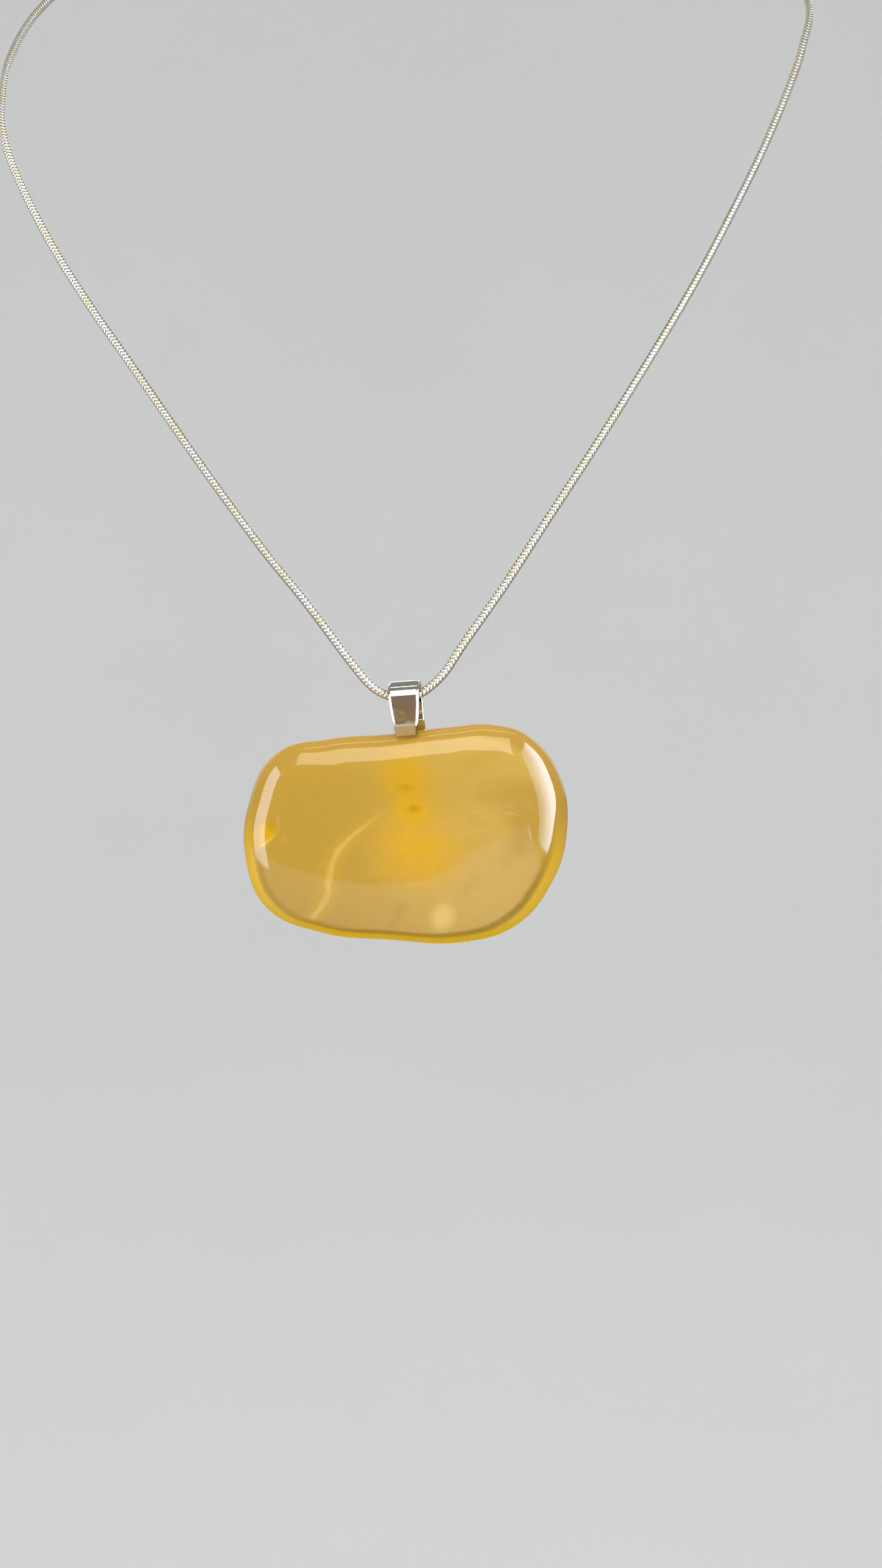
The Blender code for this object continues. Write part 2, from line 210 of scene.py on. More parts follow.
# Vein of the stone: up, across, in millimetres about the stone's centre.
VEIN = (
    (-13.5, -13.8),
    (-12.4, -13.3),
    (-9.5, -11.3),
    (-6.0, -10.6),
    (-3.8, -10.1),
    (-1.9, -9.0),
    (0.0, -7.2),
    (1.9, -4.8),
    (3.9, -2.3),
    (5.5, 0.2),
)

# The bail's strap from front tip over the chain to the glued pad: back, up, share of the half width.
BAIL_PATH = (
    (-2.10, -5.00, 0.73),
    (-2.34, -3.90, 0.79),
    (-2.38, -2.45, 0.88),
    (-2.22, -0.95, 0.96),
    (-2.18, 0.55, 1.00),
    (-1.62, 1.58, 1.02),
    (-0.82, 2.02, 1.02),
    (0.00, 2.18, 1.02),
    (0.82, 2.02, 1.02),
    (1.56, 1.50, 1.00),
    (2.10, 0.45, 0.99),
    (2.18, -1.50, 0.98),
    (2.22, -3.00, 0.98),
    (2.45, -4.10, 0.98),
    (3.00, -5.10, 1.00),
    (3.62, -6.10, 1.04),
    (3.98, -7.10, 1.10),
    (4.05, -8.20, 1.16),
    (4.05, -10.00, 1.16),
    (4.05, -11.40, 1.08),
    (4.05, -12.20, 0.84),
    (4.05, -12.60, 0.55),
)

# Outline of the clasp's body, anticlockwise from the top of the pivot block: along, up, in millimetres.
CLASP_OUTLINE = (
    (-0.5, 2.25),
    (-2.4, 2.5),
    (-3.9, 1.85),
    (-4.6, 1.1),
    (-5.5, 1.35),
    (-6.45, 0.95),
    (-6.85, 0.0),
    (-6.45, -0.95),
    (-5.5, -1.35),
    (-4.6, -1.2),
    (-3.6, -1.9),
    (-1.2, -2.7),
    (2.0, -2.95),
    (4.7, -2.2),
    (6.0, -0.2),
    (5.7, 1.6),
    (4.6, 2.6),
    (3.2, 2.85),
    (2.55, 2.4),
    (3.0, 1.85),
    (4.1, 1.5),
    (4.7, 0.4),
    (4.4, -0.9),
    (2.4, -1.75),
    (0.4, -1.5),
    (-0.6, -0.5),
    (-0.45, 0.9),
)

# Outline of the clasp's lever: rounded root, thumb tab, then the arm that shuts the mouth.
LEVER_OUTLINE = (
    (-2.95, 0.85),
    (-2.85, 1.6),
    (-3.05, 2.6),
    (-2.95, 3.45),
    (-2.4, 3.6),
    (-2.0, 3.1),
    (-1.75, 2.2),
    (-1.0, 1.8),
    (1.0, 1.72),
    (2.9, 1.62),
    (3.25, 1.3),
    (2.9, 0.95),
    (1.0, 0.85),
    (-0.7, 0.6),
    (-1.6, 0.28),
    (-2.3, 0.16),
)

# Wire spring under the lever's arm: along, up, in millimetres.
SPRING_PATH = (
    (-1.0, -0.98),
    (-1.6, -1.0),
    (-2.3, -0.98),
    (-2.85, -0.85),
    (-3.05, -0.6),
    (-2.8, -0.36),
    (-2.2, -0.26),
    (-1.6, -0.18),
    (-1.1, -0.04),
)


# Shapes.


def add_object(name, data):
    obj = bpy.data.objects.new(name, data)
    bpy.context.scene.collection.objects.link(obj)
    return obj


def finish_piece(obj, material, body, nodes=()):
    """Gives the piece its material and ties it to the CAD: what it rides on and stands for."""
    obj.data.materials.clear()
    obj.data.materials.append(material)
    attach(obj, body)
    if nodes:
        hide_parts(*nodes)


def smooth_route(points, steps):
    """Points on a Catmull-Rom curve through the given points, this many to each stretch."""
    knots = np.array(points, float)
    knots = np.vstack([2 * knots[0] - knots[1], knots, 2 * knots[-1] - knots[-2]])
    t = np.arange(steps)[:, None] / steps
    path = []
    for a, b, c, d in zip(knots, knots[1:], knots[2:], knots[3:]):
        bend = (2 * a - 5 * b + 4 * c - d) * t**2 + (3 * b - a - 3 * c + d) * t**3
        path.append(0.5 * (2 * b + (c - a) * t + bend))
    return np.vstack([*path, knots[-2]])


def arc_lengths(path):
    return np.concatenate([[0.0], np.cumsum(np.linalg.norm(np.diff(path, axis=0), axis=1))])


def along(path, distances):
    """The path's points at these distances from its start."""
    lengths = arc_lengths(path)
    return np.stack([np.interp(distances, lengths, path[:, i]) for i in range(path.shape[1])], 1)


def unit(vectors):
    return vectors / np.linalg.norm(vectors, axis=-1, keepdims=True)


def full_turn(count):
    """This many angles, evenly round a circle."""
    return 2 * np.pi * np.arange(count) / count


def carried_frames(path, start_normal):
    """Tangents, normals and binormals along a path, with no twist from point to point."""
    tangents = unit(np.gradient(path, axis=0))
    normals = np.zeros_like(path)
    normal = np.array(start_normal, float)
    for i, tangent in enumerate(tangents):
        normal = unit(normal - normal.dot(tangent) * tangent)
        normals[i] = normal
    return tangents, normals, np.cross(tangents, normals)


def face_outwards(mesh, merge=0.0):
    """Turns the mesh's faces outwards, after joining the points that lie this close."""
    shape = bmesh.new()
    shape.from_mesh(mesh)
    if merge:
        bmesh.ops.remove_doubles(shape, verts=shape.verts, dist=merge)
    bmesh.ops.recalc_face_normals(shape, faces=shape.faces)
    shape.to_mesh(mesh)
    shape.free()


def lofted_mesh(name, rings, ends="closed"):
    """A mesh from an array of rings of points. One face closes each end, or the ends are joined,
    or only the start is closed."""
    count, around = rings.shape[:2]
    rows = np.arange(count if ends == "joined" else count - 1)[:, None]
    here = np.arange(around)[None, :]
    beside = (here + 1) % around
    row, next_row = rows * around, (rows + 1) % count * around
    corners = np.stack([row + here, row + beside, next_row + beside, next_row + here], -1)
    faces = corners.reshape(-1, 4).tolist()
    if ends in ("closed", "start"):
        faces.append(list(range(around))[::-1])
    if ends == "closed":
        faces.append(list(range((count - 1) * around, count * around)))
    mesh = bpy.data.meshes.new(name)
    mesh.from_pydata(rings.reshape(-1, 3).tolist(), [], faces)
    face_outwards(mesh)
    mesh.shade_smooth()
    return mesh


def set_attribute(mesh, name, values):
    """Keeps a value at each of the mesh's points, for its material to read."""
    attribute = mesh.attributes.new(name, "FLOAT", "POINT")
    attribute.data.foreach_set("value", np.asarray(values, np.float32).ravel())


def closed_bezier(curve, outline, resolution):
    """A smooth closed outline in the curve's own plane, through points in millimetres."""
    spline = curve.splines.new("BEZIER")
    spline.bezier_points.add(len(outline) - 1)
    for point, (across, up) in zip(spline.bezier_points, outline):
        point.co = (across * MM, up * MM, 0.0)
        point.handle_left_type = "AUTO"
        point.handle_right_type = "AUTO"
    spline.use_cyclic_u = True
    spline.resolution_u = resolution


def circle_outline(centre, radius, count=16):
    return [
        (centre[0] + radius * math.cos(a), centre[1] + radius * math.sin(a))
        for a in full_turn(count)
    ]


def mesh_of(obj, merge=1e-6):
    """The object's evaluated shape as a new mesh; the object itself is removed."""
    bpy.context.view_layer.update()
    graph = bpy.context.evaluated_depsgraph_get()
    mesh = bpy.data.meshes.new_from_object(obj.evaluated_get(graph))
    bpy.data.objects.remove(obj, do_unlink=True)
    face_outwards(mesh, merge)
    return mesh


def outline_points(outline, resolution):
    """Points in metres round a smooth closed outline."""
    curve = bpy.data.curves.new("outline", "CURVE")
    closed_bezier(curve, outline, resolution)
    mesh = bpy.data.meshes.new_from_object(add_object("outline", curve))
    points = np.array([v.co[:2] for v in mesh.vertices])
    bpy.data.objects.remove(bpy.data.objects["outline"], do_unlink=True)
    return points


def flat_solid(name, outlines, thickness, edge, edge_steps=3, resolution=8):
    """A plate of this thickness cut to smooth outlines, its edges rounded inside them."""
    curve = bpy.data.curves.new(name, "CURVE")
    curve.dimensions = "2D"
    curve.fill_mode = "BOTH"
    curve.extrude = thickness / 2 - edge
    curve.bevel_depth = edge
    curve.bevel_resolution = edge_steps
    curve.offset = -edge
    for outline in outlines:
        closed_bezier(curve, outline, resolution)
    return mesh_of(add_object(name + "_outline", curve))


def turned_mesh(name, profile, steps=48, ends="closed"):
    """A shape turned about Z from (radius, height) points."""
    turns = full_turn(steps)
    circle = np.stack([np.cos(turns), np.sin(turns)], 1)
    rings = []
    for radius, height in profile:
        rings.append(np.hstack([circle * radius, np.full((steps, 1), height)]))
    return lofted_mesh(name, np.array(rings), ends)


def circles(turns, first, second):
    """Unit circles through these angles, one for each pair of directions that span its plane."""
    return np.cos(turns)[..., None] * first[:, None] + np.sin(turns)[..., None] * second[:, None]


def tube_mesh(name, path, radius, sides, start_normal):
    """A round closed tube along a path in metres."""
    _, normals, binormals = carried_frames(path, start_normal)
    around = circles(full_turn(sides)[None, :], normals, binormals)
    return lofted_mesh(name, path[:, None] + around * radius)


def wire_ring_mesh(name, centre, radius, wire, across, steps=64, sides=20):
    """A closed ring of round wire in the plane of X and the direction across."""
    outward = circles(full_turn(steps)[None, :], np.array([[1.0, 0.0, 0.0]]), np.array([across]))[0]
    axis = np.broadcast_to(np.cross((1.0, 0.0, 0.0), across), outward.shape)
    path = np.array([centre, 0.0, 0.0]) + radius * outward
    around = circles(full_turn(sides)[None, :], outward, axis)
    return lofted_mesh(name, path[:, None] + wire * around, "joined")


def smooth_by_angle(mesh, degrees=40.0):
    mesh.shade_smooth()
    mesh.set_sharp_from_angle(angle=math.radians(degrees))


def flatten_faces(mesh):
    """Shades the front and back of a flat plate as planes, beside its rounded edges."""
    for face in mesh.polygons:
        face.use_smooth = abs(face.normal.z) < 0.999


# Materials.


class Nodes:
    """Short calls that add nodes to a material's or the world's tree."""

    def __init__(self, owner):
        owner.use_nodes = True
        self.tree = owner.node_tree

    def put(self, socket, value):
        """Gives a socket a constant, or links another node's output to it."""
        if isinstance(value, bpy.types.NodeSocket):
            self.tree.links.new(value, socket)
        elif value is not None:
            opaque = socket.type == "RGBA" and len(value) == 3
            socket.default_value = (*value, 1.0) if opaque else value

    def node(self, kind, **properties):
        made = self.tree.nodes.new(kind)
        for name, value in properties.items():
            setattr(made, name, value)
        return made

    def math(self, operation, a, b=None, c=None):
        made = self.node("ShaderNodeMath", operation=operation)
        for socket, value in zip(made.inputs, (a, b, c)):
            self.put(socket, value)
        return made.outputs[0]

    def times(self, first, *others):
        for other in others:
            first = self.math("MULTIPLY", first, other)
        return first

    def mix(self, share, first, second, blend="MIX"):
        made = self.node("ShaderNodeMix", data_type="RGBA", clamp_factor=True, blend_type=blend)
        self.put(made.inputs[0], share)
        self.put(made.inputs[6], first)
        self.put(made.inputs[7], second)
        return made.outputs[2]

    def spread(self, value, low, high, to_low=0.0, to_high=1.0, kind="SMOOTHSTEP"):
        """The value carried from the span low..high to another span, and held at its ends."""
        made = self.node("ShaderNodeMapRange", interpolation_type=kind)
        for socket, given in zip(made.inputs, (value, low, high, to_low, to_high)):
            self.put(socket, given)
        return made.outputs[0]

    def parts(self, vector):
        made = self.node("ShaderNodeSeparateXYZ")
        self.put(made.inputs[0], vector)
        return made.outputs


class Shader(Nodes):
    """The nodes of one Principled material, in the object's own coordinates."""

    def __init__(self, name):
        self.material = bpy.data.materials.new(name)
        super().__init__(self.material)
        self.surface = self.tree.nodes["Principled BSDF"]

    def set(self, **values):
        for name, value in values.items():
            self.put(self.surface.inputs[name.replace("_", " ")], value)

    def attribute(self, name):
        return self.node("ShaderNodeAttribute", attribute_name=name).outputs["Fac"]

    def place(self, turn=(0.0, 0.0, 0.0), stretch=(1.0, 1.0, 1.0)):
        """The object's own coordinates in millimetres, turned and stretched."""
        made = self.node("ShaderNodeMapping", vector_type="TEXTURE")
        self.put(made.inputs["Vector"], self.node("ShaderNodeTexCoord").outputs["Object"])
        made.inputs["Rotation"].default_value = [math.radians(a) for a in turn]
        made.inputs["Scale"].default_value = [s * MM for s in stretch]
        return made.outputs[0]

    def noise(self, place, scale, detail=3.0, roughness=0.5, distortion=0.0):
        made = self.node("ShaderNodeTexNoise")
        values = (place, scale, detail, roughness, distortion)
        for name, value in zip(("Vector", "Scale", "Detail", "Roughness", "Distortion"), values):
            self.put(made.inputs[name], value)
        return made.outputs["Fac"]

    def bump(self, height, strength, distance):
        made = self.node("ShaderNodeBump")
        self.put(made.inputs["Height"], height)
        made.inputs["Strength"].default_value = strength
        made.inputs["Distance"].default_value = distance
        return made.outputs[0]


def from_srgb(*levels):
    """Linear colour of 0 to 255 screen levels."""
    shares = [level / 255 for level in levels]
    return tuple(s / 12.92 if s <= 0.04045 else ((s + 0.055) / 1.055) ** 2.4 for s in shares)


def metal(name, light, dark, roughness):
    """Polished metal: cloudy colour and gloss, with fine scratches at right angles to Z."""
    s = Shader(name)
    clouds = s.noise(s.place(), 0.55, 4.0, 0.6)
    scratches = s.noise(s.place(stretch=(3.3, 3.3, 0.17)), 2.2, 5.0, 0.65)
    wear = s.math("MULTIPLY_ADD", scratches, 0.5, s.math("MULTIPLY", clouds, 0.5))
    s.set(
        Base_Color=s.mix(s.spread(clouds, 0.38, 0.66), light, dark),
        Metallic=1.0,
        Roughness=s.spread(wear, 0.35, 0.65, *roughness),
        Normal=s.bump(scratches, 0.12, 0.02 * MM),
    )
    return s.material


def bail_material():
    """Mirror-polished silver: painted warm reflection of the stone low on the front tip, and smudges with
    painted gold reflections half-way down.
    """
    s = Shader("bail_silver")
    point = s.place()
    back, up, _ = s.parts(point)
    clouds = s.noise(point, 0.9, 4.0, 0.6, 0.8)
    ripple = s.noise(point, 0.45, 2.0, 0.5)
    scratches = s.noise(s.place(stretch=(0.17, 2.0, 2.0)), 2.0, 4.0, 0.6)
    front = s.spread(back, -1.2, -1.8)
    # Low on the front: painted warm reflection of the stone, in amber.
    painted_tip_reflection = s.times(front, s.spread(s.math("MULTIPLY_ADD", clouds, 0.5, up), -3.1, -3.6))
    # Half-way down: smudges, which roughen the polish and carry painted gold reflections.
    smudge_and_reflection = s.times(front, s.spread(up, -0.6, -1.6), s.spread(up, -3.8, -3.2), s.spread(clouds, 0.46, 0.56))
    colour = s.mix(s.spread(clouds, 0.4, 0.66), (0.93, 0.92, 0.90), (0.88, 0.85, 0.79))
    colour = s.mix(s.times(smudge_and_reflection, 0.85), colour, (0.96, 0.80, 0.42))
    colour = s.mix(s.times(painted_tip_reflection, 0.95), colour, (0.72, 0.46, 0.14))
    s.set(
        Base_Color=colour,
        Metallic=1.0,
        Roughness=s.spread(s.math("MULTIPLY_ADD", smudge_and_reflection, 0.5, clouds), 0.35, 1.1, 0.05, 0.22),
        Normal=s.bump(s.math("MULTIPLY_ADD", scratches, 0.05, ripple), 0.12, 0.1 * MM),
    )
    return s.material


def chain_material():
    """Silver with a champagne tint on the crowns of the links, and painted dark brown shade in the hollows.
    """
    s = Shader("chain_silver")
    relief = s.attribute("relief")
    clouds = s.noise(s.place(), 0.35, 3.0, 0.6)
    grit = s.noise(s.place(), 3.0, 3.0, 0.6)
    crown = s.mix(s.spread(clouds, 0.40, 0.62), (0.96, 0.96, 0.95), (0.96, 0.90, 0.68))
    # Painted shade: dark brown in the hollows between the links.
    painted_hollow_shade = s.mix(s.spread(grit, 0.3, 0.7), (0.16, 0.11, 0.06), (0.42, 0.34, 0.20))
    wear = s.math("MULTIPLY_ADD", grit, 0.18, s.math("MULTIPLY", relief, -0.2))
    s.set(
        Base_Color=s.mix(s.spread(relief, 0.10, 0.46), painted_hollow_shade, crown),
        Metallic=1.0,
        Roughness=s.spread(wear, -0.2, 0.18, 0.28, 0.5),
        Normal=s.bump(grit, 0.15, 0.02 * MM),
    )
    return s.material


class StoneShader(Shader):
    """Stone: features laid one over another on a base colour, in millimetres about its centre."""

    def __init__(self, name, base):
        super().__init__(name)
        self.point = self.place()
        self.x, _, self.z = self.parts(self.point)
        self.rim = self.attribute("rim")
        self.wobble = self.math("MULTIPLY_ADD", self.noise(self.point, 0.22, 2.0, 0.55), 2.4, -1.2)
        self.fine = self.noise(self.point, 1.1, 4.0, 0.65)
        self.clouds = self.noise(self.point, 0.085, 2.0, 0.5, 0.6)
        self.colour = from_srgb(*base)

    def lay(self, screen_colour, share, strength=1.0):
        """Lays a colour of 0 to 255 screen levels over what is there."""
        self.colour = self.mix(self.times(share, strength), self.colour, from_srgb(*screen_colour))

    def spot(self, across, up, wide, tall, soft=1.0, turn=0.0, wander=1.0):
        """1 at a point of the face, falling to 0 at an ellipse of these half sizes."""
        dx = self.math("MULTIPLY_ADD", self.wobble, wander, self.math("SUBTRACT", self.x, across))
        dz = self.math("MULTIPLY_ADD", self.wobble, 0.6 * wander, self.math("SUBTRACT", self.z, up))
        c, n = math.cos(math.radians(turn)), math.sin(math.radians(turn))
        u = self.math("MULTIPLY_ADD", dx, c / wide, self.math("MULTIPLY", dz, n / wide))
        v = self.math("MULTIPLY_ADD", dx, -n / tall, self.math("MULTIPLY", dz, c / tall))
        reach = self.math("SQRT", self.math("MULTIPLY_ADD", u, u, self.math("MULTIPLY", v, v)))
        return self.spread(reach, 1.0, 1.0 - soft)

    def off_line(self, bends, low, high, left, right):
        """Distance across from a smooth line through (up, across) points."""
        line = self.node("ShaderNodeFloatCurve")
        curve = line.mapping.curves[0]
        while len(curve.points) < len(bends):
            curve.points.new(0.5, 0.5)
        for point, (up, across) in zip(curve.points, bends):
            point.location = ((up - low) / (high - low), (across - left) / (right - left))
        line.mapping.update()
        self.put(line.inputs["Value"], self.spread(self.z, low, high, kind="LINEAR"))
        across = self.spread(line.outputs[0], 0.0, 1.0, left, right, "LINEAR")
        ragged = self.math("MULTIPLY_ADD", self.fine, 1.0, -0.5)
        return self.math("ABSOLUTE", self.math("ADD", self.math("SUBTRACT", self.x, across), ragged))


def stone_material():
    """Honey-coloured stone: clouded body, warm heart, pale vein, spots, veil and a painted glow at the lower
    rim.
    """
    s = StoneShader("honey_stone", BODY_LEFT)
    x, z, rim, fine = s.x, s.z, s.rim, s.fine
    s.lay(BODY_RIGHT, s.spread(s.math("MULTIPLY_ADD", s.clouds, 14.0, x), -8.0, 22.0))
    s.lay((196, 152, 52), s.spread(s.clouds, 0.52, 0.75), 0.5)

    # Warm heart, the deeper yellow above it, and two small yellow knots between them.
    s.lay((240, 184, 20), s.spot(0.2, 8.0, 6.0, 6.8), 0.85)
    s.lay((252, 194, 50), s.spot(2.0, -1.6, 9.6, 9.0), 0.92)
    s.lay((250, 192, 0), s.spot(1.2, 3.6, 4.6, 3.4, 1.0, 0.0, 0.5), 0.75)
    s.lay((216, 164, 0), s.spot(0.2, 6.8, 1.7, 0.8, 1.0, -15.0, 0.2), 0.7)
    s.lay((212, 156, 0), s.spot(1.35, 3.9, 1.3, 1.0, 1.0, 0.0, 0.2), 0.75)

    # Pale healed crack that runs down to the lower left.
    off_vein = s.off_line(VEIN, -13.5, 5.5, -14.0, 1.0)
    reach = s.times(s.spread(z, -13.2, -12.2), s.spread(z, 5.2, -1.0))
    s.lay((236, 186, 62), s.times(s.spread(off_vein, 2.6, 0.2), reach), 0.45)
    core = s.times(s.spread(off_vein, 0.75, 0.1), s.spread(s.clouds, 0.3, 0.6, 0.6, 1.0))
    s.lay((246, 208, 106), s.times(core, reach), 0.8)

    # Inclusion at the left edge, with its pale cracks.
    s.lay((246, 190, 0), s.spot(-20.5, -0.6, 3.6, 1.9, 0.6, 38.0, 0.4), 1.0)
    s.lay((212, 154, 0), s.spot(-18.9, 0.9, 1.3, 1.0, 1.0, 38.0, 0.3), 0.6)
    s.lay((252, 228, 140), s.spot(-19.9, -1.5, 2.9, 0.24, 1.0, 40.0, 0.12), 0.85)
    s.lay((228, 192, 108), s.spot(-18.0, 1.6, 0.3, 1.5, 1.0, 4.0, 0.15), 0.6)
    s.lay((224, 184, 92), s.spot(-17.2, -0.8, 1.2, 1.1, 1.0, 10.0, 0.6), 0.5)

    # Fibrous veil from the heart towards the right, with thin cracks at its end.
    fibres = s.noise(s.place((0.0, -20.0, 0.0), (4.0, 1.0, 0.6)), 0.8, 4.0, 0.6)
    veil = s.spot(10.6, 2.4, 9.4, 4.0, 0.9, 17.0)
    s.lay((238, 200, 116), s.times(veil, s.spread(fibres, 0.36, 0.7)), 0.5)
    s.lay((246, 222, 158), s.spot(17.6, 0.6, 0.16, 2.2, 1.0, 12.0, 0.1), 0.6)
    s.lay((246, 222, 158), s.spot(15.0, 3.4, 2.6, 0.16, 1.0, -12.0, 0.1), 0.3)

    # Pale blob low on the right.
    s.lay((255, 216, 122), s.spot(5.4, -11.6, 2.3, 3.2, 0.75, -24.0, 0.4), 0.85)

    # Rim: tan above; below, a painted glow of gathered light, yellow at the edge, with darker and mossy
    # bands inside it.
    rim_band = s.spread(rim, 0.87, 0.93)
    below = s.spread(z, 5.0, -7.0)
    s.lay((206, 161, 64), s.times(rim_band, s.math("SUBTRACT", 1.0, below)), 0.8)
    s.lay((196, 150, 30), s.times(s.spread(rim, 0.865, 0.90), below), 0.75)
    moss_place = s.times(s.spread(x, 2.0, 12.0), s.spread(z, -2.0, -9.0))
    speckles = s.times(s.spread(rim, 0.86, 0.90), moss_place, s.spread(fine, 0.35, 0.7, 0.2, 1.0))
    s.lay((160, 132, 52), speckles, 0.6)
    # Painted glow: light gathered at the lower edge, in bright yellow.
    s.lay((255, 206, 48), s.times(s.spread(rim, 0.91, 0.95), below))

    # Fine grain all over, and a polish that is a little uneven.
    shade = s.math("MULTIPLY_ADD", fine, 0.12, 0.94)
    grain = s.node("ShaderNodeCombineXYZ")
    for socket in grain.inputs:
        s.put(socket, shade)
    polish = s.noise(s.point, 0.35, 3.0, 0.6)
    s.set(
        Base_Color=s.mix(1.0, s.colour, grain.outputs[0], "MULTIPLY"),
        Roughness=s.spread(polish, 0.3, 0.7, 0.03, 0.07),
        IOR=1.7,
        Subsurface_Weight=0.2,
        Subsurface_Radius=(1.0, 0.5, 0.15),
        Subsurface_Scale=2.0 * MM,
        Normal=s.bump(polish, 0.02, 0.1 * MM),
    )
    return s.material


def glue_material():
    """Clear adhesive, a little yellowed."""
    s = Shader("clear_glue")
    clouds = s.noise(s.place(), 0.9, 3.0, 0.5)
    s.set(
        Base_Color=s.mix(clouds, (0.90, 0.88, 0.80), (0.82, 0.76, 0.58)),
        Roughness=s.spread(clouds, 0.3, 0.7, 0.10, 0.22),
        Transmission_Weight=0.6,
        IOR=1.45,
        Normal=s.bump(clouds, 0.2, 0.1 * MM),
    )
    return s.material


def stage_material():
    """Plain pale matt grey."""
    s = Shader("pale_stage")
    soft = s.noise(s.place(), 0.004, 2.0, 0.5)
    s.set(
        Base_Color=s.mix(soft, (0.78, 0.78, 0.775), (0.82, 0.82, 0.815)),
        Roughness=0.9,
        Specular_IOR_Level=0.1,
    )
    return s.material


# Camera and chain.


def build_camera():
    """Camera at the photograph's angle: in front and a little above, looking down at the pendant."""
    camera = bpy.data.cameras.new("photo_camera")
    camera.sensor_width = SENSOR
    camera.lens = SENSOR * VIEW_DISTANCE / IMAGE_HEIGHT
    camera.clip_start = 0.01
    camera.clip_end = 20.0
    obj = add_object("photo_camera", camera)
    back = Vector((0.0, -math.cos(VIEW_PITCH), math.sin(VIEW_PITCH)))
    obj.location = VIEW_CENTRE + back * VIEW_DISTANCE
    obj.rotation_euler = (math.pi / 2 - VIEW_PITCH, 0.0, 0.0)
    bpy.context.scene.camera = obj


def build_chain():
    """Snake chain: rings of wavy plates that interlock, each with a crown and a crease."""
    route = smooth_route(CHAIN_ROUTE, 24) * MM
    total = arc_lengths(route)[-1]
    links = round(total / LINK_PITCH)
    pitch = total / links
    starts = [(i + share) * pitch for i in range(links) for share, _ in LINK_PROFILE]
    rows = np.array(starts + [total])
    height = np.array([crown for _ in range(links) for _, crown in LINK_PROFILE] + [0.0])[:, None]
    centres = along(route, rows)
    tangents, normals, binormals = carried_frames(centres, (0.0, -0.3, 1.0))

    # Each link's edges wave round the chain. Its creases are deepest in the troughs.
    wave = np.abs(np.arange(CHAIN_SIDES) * LINK_WAVES / CHAIN_SIDES % 1.0 * 2 - 1)[None, :]
    trough = np.clip(1 - np.abs(wave - 0.5) * 2, 0, 1)
    crease = LINK_CREASE * (1 - height) * (0.7 + 0.6 * trough)
    radius = CHAIN_DIAMETER / 2 * (LINK_CROWN - LINK_TROUGH * trough - crease)
    near_end = np.clip(np.minimum(rows, total - rows) / (2 * pitch), 0, 1)[:, None]
    shift = (wave - 0.5) * LINK_SWING * pitch * near_end
    angle = full_turn(CHAIN_SIDES)[None, :] + rows[:, None] * TWIST_PER_METRE
    around = circles(angle, normals, binormals)
    points = centres[:, None] + around * radius[..., None] + tangents[:, None] * shift[..., None]

    # The material reads the relief: 1 on the crowns, 0 in the hollows, where it paints shade.
    mesh = lofted_mesh("snake_chain_links", points)
    relief = np.clip(height * (1 - 0.75 * trough) + 0.05, 0, 1)
    set_attribute(mesh, "relief", relief)
    chain = add_object("snake_chain_links", mesh)
    finish_piece(chain, chain_material(), "chain", ["snake_chain"])


# Pendant.


def pendant_place():
    """The pendant's own frame, from the chain's lowest point, turned to the wearer's right."""
    return Matrix.Translation(CHAIN_BOTTOM) @ Matrix.Rotation(PENDANT_TURN, 4, "Z")


def build_stone():
    """Polished slab: a low dome in front, flatter behind, with softly rounded edges."""
    outline = outline_points(STONE_OUTLINE, 32)
    rings = []
    rims = []
    for side, power in ((-1.0, DOME_FRONT), (1.0, DOME_BACK)):
        # The rounded edge in steps of 3 degrees, then the face in even steps to its middle.
        shares = [math.cos(math.radians(a)) ** (2 / power) for a in range(0, 78, 3)]
        shares += list(np.arange(shares[-1] - FACE_STEP, 0.01, -FACE_STEP))
        shares = shares[::-1] if side < 0 else shares[1:]
        for share in shares:
            depth = side * STONE_THICKNESS / 2 * math.sqrt(1 - share**power)
            across, up = outline.T * share
            rings.append(np.stack([across, np.full_like(across, depth), up], 1))
            rims.append(np.full(len(outline), share))
    rings = np.array(rings)
    for point in rings.reshape(-1, 3):
        point[1] *= 1 + FACE_DRIFT * noise.noise(Vector(point) * DRIFT_SCALE)
    mesh = lofted_mesh("polished_stone", rings)
    set_attribute(mesh, "rim", rims)
    stone = add_object("polished_stone", mesh)
    stone.matrix_world = pendant_place() @ Matrix.Translation((0.0, 0.0, -STONE_CENTRE_DROP))
    finish_piece(stone, stone_material(), "pendant", ["stone"])


def strap_section():
    """One edge of the strap's section, outer face first: how far in from the edge, and how far out."""
    half = BAIL_THICKNESS / MM / 2
    outer = ((0.44, half), (0.40, half), (0.36, half - 0.006), (0.32, half - 0.020))
    bevel = ((0.30, half - 0.028), (0.06, half - 0.128), (0.03, half - 0.145), (0.0, half - 0.19))
    inner = ((0.0, 0.12 - half), (0.03, 0.05 - half), (0.10, 0.005 - half), (0.16, -half))
    return [(inset * MM, out * MM) for inset, out in (*outer, *bevel, *inner, (0.22, -half))]


